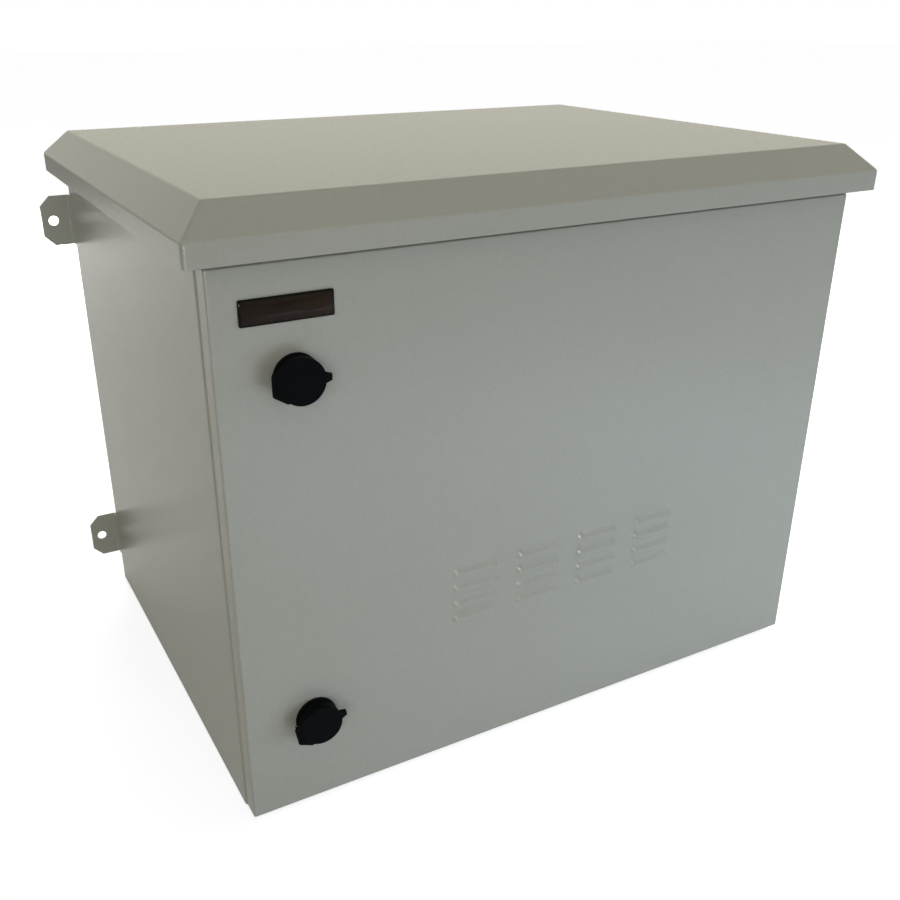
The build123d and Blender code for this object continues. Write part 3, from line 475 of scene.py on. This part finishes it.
black_rubber = rubber("black_rubber", (0.018, 0.018, 0.019, 1.0), 0.62, 500.0, 0.1 * MM)
foam = rubber("gasket_foam", (0.03, 0.03, 0.031, 1.0), 0.88, 900.0, 0.4 * MM)
felt = rubber("filter_felt", (0.42, 0.42, 0.38, 1.0), 0.95, 700.0, 0.6 * MM)
sheet_copy("grommets", "cable_grommets", "cabinet", "black_rubber", black_rubber)
sheet_copy("entry_seal", "gland_seal", "cabinet", "black_rubber", black_rubber)
sheet_copy("lock_seal_rings", "lock_seals", "door", "black_rubber", black_rubber)
sheet_copy("foam_ring", "door_gasket", "door", "gasket_foam", foam)
sheet_copy("felt_pad", "filter_pad", "door", "filter_felt", felt, 0.8 * MM)


# The door
# A pan of the same sheet, its four sides folded back, with sixteen louvres pressed through it.
# The louvres' rounded ends need a wider angle to come out smooth.

DOOR_FACE = -226.25
LOUVRE_SMOOTH_ANGLE = 48
sheet_copy("door_pan", "door_panel", "door", "body_paint", coat, THIN_EASE, LOUVRE_SMOOTH_ANGLE)


# The badge
# A dark brown print with a black border under a clear resin dome. Nothing is written on it.

BADGE_X, BADGE_Z = -244.2, 434.1
BADGE_WIDTH, BADGE_HEIGHT = 70.0, 19.0
BADGE_BORDER = 1.5
BADGE_BLUR = 0.3
BADGE_CORNER = 1.2
BADGE_EDGE = 1.2
BADGE_STEPS = ((0.15, 0.3), (0.25, 0.25), (0.5, 0.2))


def badge_resin():
    material, shader, shade = new_material("badge_resin", Roughness=0.09, Specular_IOR_Level=0.12)
    across = (object_place(shade, 0) - BADGE_X * MM) * (1 / MM)
    up = (object_place(shade, 2) - BADGE_Z * MM) * (1 / MM)
    half_width = BADGE_WIDTH / 2 - BADGE_BORDER
    half_height = BADGE_HEIGHT / 2 - BADGE_BORDER
    side = across.math("ABSOLUTE", across).clamped(half_width - BADGE_BLUR, half_width)
    edge = up.math("ABSOLUTE", up).clamped(half_height - BADGE_BLUR, half_height)
    border = side.math("MAXIMUM", side, edge)
    cloud = object_noise(shade, 45.0, 3.0)
    tone = (across * 0.008 - up * 0.02 + (cloud - 0.5) * 0.6 + 0.5).clamped(0.0, 1.0)
    brown = tone.mix((0.011, 0.006, 0.003, 1.0), (0.022, 0.012, 0.006, 1.0))
    feed(shader, "Base Color", border.mix(brown, (0.001, 0.001, 0.0015, 1.0)))
    crown = up * up * -0.006 + across * across * -0.0004
    bumped(shade, shader, crown, 1.0, MM)
    return material


def badge_dome():
    """A rounded rectangle, thickened and then drawn in and up in small steps at its edge."""
    badge = primitive("plane", size=1.0)
    badge.data.transform(Matrix.Diagonal((BADGE_WIDTH * MM, BADGE_HEIGHT * MM, 1, 1)))
    only(badge)
    bpy.ops.object.mode_set(mode="EDIT")
    bpy.ops.mesh.select_all(action="SELECT")
    bpy.ops.mesh.bevel(offset=BADGE_CORNER * MM, segments=6, affect="VERTICES")
    bpy.ops.mesh.select_all(action="SELECT")
    bpy.ops.mesh.extrude_region_move(TRANSFORM_OT_translate={"value": (0, 0, BADGE_EDGE * MM)})
    for step, rise in BADGE_STEPS:
        bpy.ops.mesh.inset(thickness=step * MM, depth=0)
        bpy.ops.transform.translate(value=(0, 0, rise * MM))
    bpy.ops.object.mode_set(mode="OBJECT")
    badge.data.transform(Matrix(((1, 0, 0, BADGE_X * MM), (0, 0, -1, DOOR_FACE * MM),
                                 (0, 1, 0, BADGE_Z * MM), (0, 0, 0, 1))))
    badge.name = "badge_dome"
    only(badge)
    bpy.ops.object.shade_smooth_by_angle(angle=math.radians(60))
    return hand_over(badge, "door", "badge_brown", badge_resin(), "badge_plate")


badge_dome()


# The locks
# Die-cast housings with a black coat, and a sprung dust cover over each key slot. The cover is a
# round cap drawn out to a straight tail over its hinge, with a thumb tab opposite. Sizes are in
# millimetres from the lock's middle and the door's face.

LOCK_X = -240.8
LOCK_Z = {"upper": 384.1, "lower": 87.4}
LOCK_ROLL = {"upper": 0.0, "lower": 10.3}
COVER_R = 17.6
COVER_TAIL = 22.7
COVER_TAIL_HALF = 7.6
COVER_SHOULDER = (11.6, 14.8)
COVER_BACK, COVER_FRONT, COVER_SEAT = 13.2, 15.5, 11.3
COVER_HINGE = (-19.5, 10.9)
COVER_WALL = 1.6
RIM_DEPTH = 2.4
KNUCKLE_R = 1.5
KNUCKLE_GAP_HALF = 4.1
RIB_COUNT, RIB_PITCH = 9, 1.4
TAB_SIZE, TAB_MIDDLE = (6.8, 9.8, 2.8), (19.4, 0.0, 12.7)
TAB_TIP_X, TAB_TIP_WIDTH, TAB_TIP_DROP = 20.0, 0.51, 0.12


def black_coat():
    material, shader, shade = new_material("black_coat", Specular_IOR_Level=0.03)
    grain = object_noise(shade, 900.0, 3.0)
    feed(shader, "Base Color", grain.mix((0.0016, 0.002, 0.0026, 1.0), (0.0034, 0.004, 0.005, 1.0)))
    feed(shader, "Roughness", 0.48 + (grain - 0.5) * 0.2)
    bumped(shade, shader, grain, 0.2, 0.05 * MM)
    return material


def cover_reach(angle):
    """How far the outline lies from the middle, at an angle from the tail in radians."""
    if angle <= math.atan2(COVER_TAIL_HALF, COVER_TAIL):
        return COVER_TAIL / math.cos(angle)
    shoulder_u, shoulder_v = COVER_SHOULDER
    if angle > math.atan2(shoulder_v, shoulder_u):
        return COVER_R
    run_u = shoulder_u - COVER_TAIL
    run_v = shoulder_v - COVER_TAIL_HALF
    return ((COVER_TAIL * run_v - COVER_TAIL_HALF * run_u)
            / (math.cos(angle) * run_v - math.sin(angle) * run_u))


def dust_cover(level):
    """Built about its own middle: X along the cover, Z out of the door."""
    cap = primitive("circle", vertices=144, radius=COVER_R * MM, fill_type="NGON",
                    location=(0, 0, COVER_BACK * MM))
    for point in cap.data.vertices:
        angle = math.atan2(point.co.y, -point.co.x)
        reach = cover_reach(abs(angle)) * MM
        point.co.x = -reach * math.cos(angle)
        point.co.y = reach * math.sin(angle)
    apply_modifier(cap, "SOLIDIFY", thickness=(COVER_FRONT - COVER_BACK) * MM, offset=1)
    apply_modifier(cap, "BEVEL", width=0.5 * MM, segments=3, limit_method="ANGLE",
                   angle_limit=math.radians(60))
    rim = primitive("cylinder", vertices=96, radius=COVER_R * MM, depth=RIM_DEPTH * MM,
                    end_fill_type="NOTHING", location=(0, 0, (COVER_SEAT + RIM_DEPTH / 2) * MM))
    apply_modifier(rim, "SOLIDIFY", thickness=COVER_WALL * MM, offset=-1)
    apply_modifier(rim, "BEVEL", width=0.3 * MM, segments=2, limit_method="ANGLE",
                   angle_limit=math.radians(60))
    tab = primitive("cube", size=1.0, location=[v * MM for v in TAB_MIDDLE],
                    scale=[v * MM for v in TAB_SIZE])
    for point in tab.data.vertices:
        if point.co.x > TAB_TIP_X * MM:
            point.co.y *= TAB_TIP_WIDTH
            point.co.z -= (point.co.z - COVER_SEAT * MM) * TAB_TIP_DROP
    apply_modifier(tab, "BEVEL", width=0.7 * MM, segments=3, limit_method="ANGLE")
    parts = [cap, rim, tab]
    hinge_u, hinge_p = COVER_HINGE
    for side in (-1, 1):
        middle = side * (KNUCKLE_GAP_HALF + COVER_TAIL_HALF) / 2 * MM
        length = (COVER_TAIL_HALF - KNUCKLE_GAP_HALF) * MM
        knuckle = primitive("cylinder", vertices=28, radius=KNUCKLE_R * MM, depth=length,
                            rotation=(math.pi / 2, 0, 0),
                            location=(hinge_u * MM, middle, hinge_p * MM))
        apply_modifier(knuckle, "BEVEL", width=0.25 * MM, segments=2, limit_method="ANGLE")
        web = primitive("cube", size=1.0, scale=(2.9 * MM, length, 2.7 * MM),
                        location=(hinge_u * MM, middle, (hinge_p + 1.3) * MM))
        apply_modifier(web, "BEVEL", width=0.2 * MM, segments=2, limit_method="ANGLE")
        parts += [knuckle, web]
    rib = primitive("cube", size=1.0, scale=(4.6 * MM, 0.5 * MM, 0.5 * MM),
                    location=(-18.9 * MM, -5.6 * MM, COVER_FRONT * MM))
    apply_modifier(rib, "BEVEL", width=0.18 * MM, segments=2, limit_method="ANGLE")
    apply_modifier(rib, "ARRAY", count=RIB_COUNT, use_relative_offset=False,
                   use_constant_offset=True, constant_offset_displace=(0, RIB_PITCH * MM, 0))
    cover = joined(parts + [rib])
    cover.name = f"dust_cover_{level}"
    even_normals(cover, 35)
    turn = math.radians(LOCK_ROLL[level])
    cover.data.transform(Matrix(((math.cos(turn), -math.sin(turn), 0, LOCK_X * MM),
                                 (0, 0, -1, DOOR_FACE * MM),
                                 (math.sin(turn), math.cos(turn), 0, LOCK_Z[level] * MM),
                                 (0, 0, 0, 1))))
    return cover


lock_black = black_coat()
for level in ("upper", "lower"):
    hand_over(dust_cover(level), f"flap_{level}", "lock_black", lock_black, f"lock_flap_{level}")
    sheet_copy(f"lock_case_{level}", f"lock_housing_{level}", "door", "lock_black",
               lock_black, SHEET_EASE)


# Floor, light and camera
# A pale studio floor and sky, with soft lamps all round. One small lamp shows only in gloss, for
# the glints on the louvres.

def seen_rays(shade):
    """1 for what the camera or a clear piece sees of the studio, and 1 for what a gloss sees."""
    camera_ray, gloss_ray, clear_ray = [shade.node("ShaderNodeLightPath", output=name) for name in
                                        ("Is Camera Ray", "Is Glossy Ray", "Is Transmission Ray")]
    return camera_ray.math("MAXIMUM", camera_ray, clear_ray), gloss_ray


def studio_floor():
    floor = primitive("grid", x_subdivisions=4, y_subdivisions=4, size=30.0,
                      location=(0, 0, -0.5 * MM))
    floor.name = "studio_floor"
    material, shader, shade = new_material("studio_floor", Roughness=0.9, Specular_IOR_Level=0.0)
    camera_ray, gloss_ray = seen_rays(shade)
    distance = shade.node("ShaderNodeVectorMath", {"operation": "LENGTH"}, {0: object_place(shade)}, 1)
    far = distance.clamped(0.7, 3.0)
    shader.inputs["Base Color"].default_value = (0.82, 0.82, 0.82, 1.0)
    # The floor glows only in reflections, brighter and bluer in front of the box than beside it, and
    # lights nothing: a painted reflection on the coat.
    before = 1.0 - object_place(shade, 1).clamped(-0.3, -0.15)
    shown = far.mix(FLOOR_GLOW_NEAR, FLOOR_GLOW_FAR)
    mirrored = before.mix(FLOOR_GLOSS_SIDES, FLOOR_GLOSS_FRONT)
    glow = gloss_ray.mix((0.0, 0.0, 0.0, 1.0), mirrored)
    feed(shader, "Emission Color", camera_ray.mix(glow, shown))
    shader.inputs["Emission Strength"].default_value = 1.0
    floor.data.materials.append(material)


def studio_world():
    world = bpy.data.worlds.new("studio")
    bpy.context.scene.world = world
    world.use_nodes = True
    shade = Shade(world.node_tree)
    background = world.node_tree.nodes["Background"]
    direction = shade.node("ShaderNodeTexCoord", output=0)
    back = shade.node("ShaderNodeSeparateXYZ", {}, {0: direction}, 1).clamped(-0.5, 0.3)
    height = shade.node("ShaderNodeSeparateXYZ", {}, {0: direction}, 2)
    ambient = height.clamped(0.15, 0.55).mix(back.mix(SKY_FRONT, SKY_BACK), (0.0, 0.0, 0.0, 1.0))
    camera_ray, gloss_ray = seen_rays(shade)
    seen = camera_ray.mix(gloss_ray.mix(ambient, SKY_GLOSS), (1.0, 1.0, 1.0, 1.0))
    world.node_tree.links.new(seen.socket, background.inputs["Color"])
    background.inputs["Strength"].default_value = 1.0


def soft_lamp(name, place, aim, size, power, colour):
    data = bpy.data.lights.new(name, "AREA")
    data.shape = "RECTANGLE"
    data.size, data.size_y = size
    data.energy = power
    data.color = colour
    lamp = bpy.data.objects.new(name, data)
    bpy.context.scene.collection.objects.link(lamp)
    lamp.location = place
    lamp.rotation_mode = "QUATERNION"
    lamp.rotation_quaternion = (Vector(aim) - Vector(place)).to_track_quat("-Z", "Y")


FLOOR_GLOW_NEAR = (0.74, 0.74, 0.76, 1.0)
FLOOR_GLOW_FAR = (0.94, 0.94, 0.94, 1.0)
# What the floor shows in reflections only: a painted reflection, brighter and bluer in front.
FLOOR_GLOSS_SIDES = (0.25, 0.25, 0.22, 1.0)
FLOOR_GLOSS_FRONT = (0.44, 0.47, 0.46, 1.0)
SKY_FRONT = (0.86, 0.84, 0.88, 1.0)
SKY_BACK = (0.08, 0.08, 0.08, 1.0)
SKY_GLOSS = (0.88, 0.86, 0.74, 1.0)
GLINT_LAMP = "small_left_front"
studio_floor()
studio_world()
soft_lamp("overhead", (0.2, 0.1, 2.4), (0, 0, 0.4), (2.4, 2.4), 12.0, (1.0, 0.97, 0.85))
soft_lamp("front_high", (-0.5, -1.9, 2.3), (-0.1, -0.2, 0.3), (1.0, 1.0), 5.0, (1.0, 0.98, 0.9))
soft_lamp("left_front", (-1.7, -2.2, 1.0), (0, -0.2, 0.25), (1.2, 1.2), 13.0, (1.0, 0.98, 0.9))
soft_lamp(GLINT_LAMP, (-1.41, -2.47, 0.28), (0, -0.2, 0.2), (0.15, 0.15), 16.0, (1.0, 1.0, 0.96))
soft_lamp("back", (0.5, 2.6, 0.6), (0, 0.2, 0.25), (1.6, 0.8), 55.0, (1.0, 1.0, 0.96))
soft_lamp("right", (2.5, 0.1, 0.7), (0.3, 0, 0.25), (1.4, 0.8), 26.0, (1.0, 1.0, 0.96))
soft_lamp("floor_front", (0.3, -0.85, 0.06), (0.2, -0.226, 0.03), (1.0, 0.08), 1.6, (0.72, 0.92, 1.2))
for lamp in bpy.context.scene.objects:
    if lamp.type == "LIGHT":
        lamp.visible_camera = False
        lamp.visible_glossy = lamp.name == GLINT_LAMP
        lamp.visible_diffuse = not lamp.visible_glossy

CAMERA_PLACE = (-0.48106, -0.86326, 0.62338)
CAMERA_TURN = (65.557, -0.023, -28.898)
CAMERA_LENS = 40.37
CAMERA_SHIFT = (0.0182, 0.0139)
camera = bpy.data.objects.new("camera", bpy.data.cameras.new("camera"))
bpy.context.scene.collection.objects.link(camera)
camera.location = CAMERA_PLACE
camera.rotation_euler = [math.radians(angle) for angle in CAMERA_TURN]
camera.data.sensor_width = 36.0
camera.data.lens = CAMERA_LENS
camera.data.shift_x, camera.data.shift_y = CAMERA_SHIFT
camera.data.clip_start = 0.01
bpy.context.scene.camera = camera
bpy.context.scene.view_settings.view_transform = "Standard"
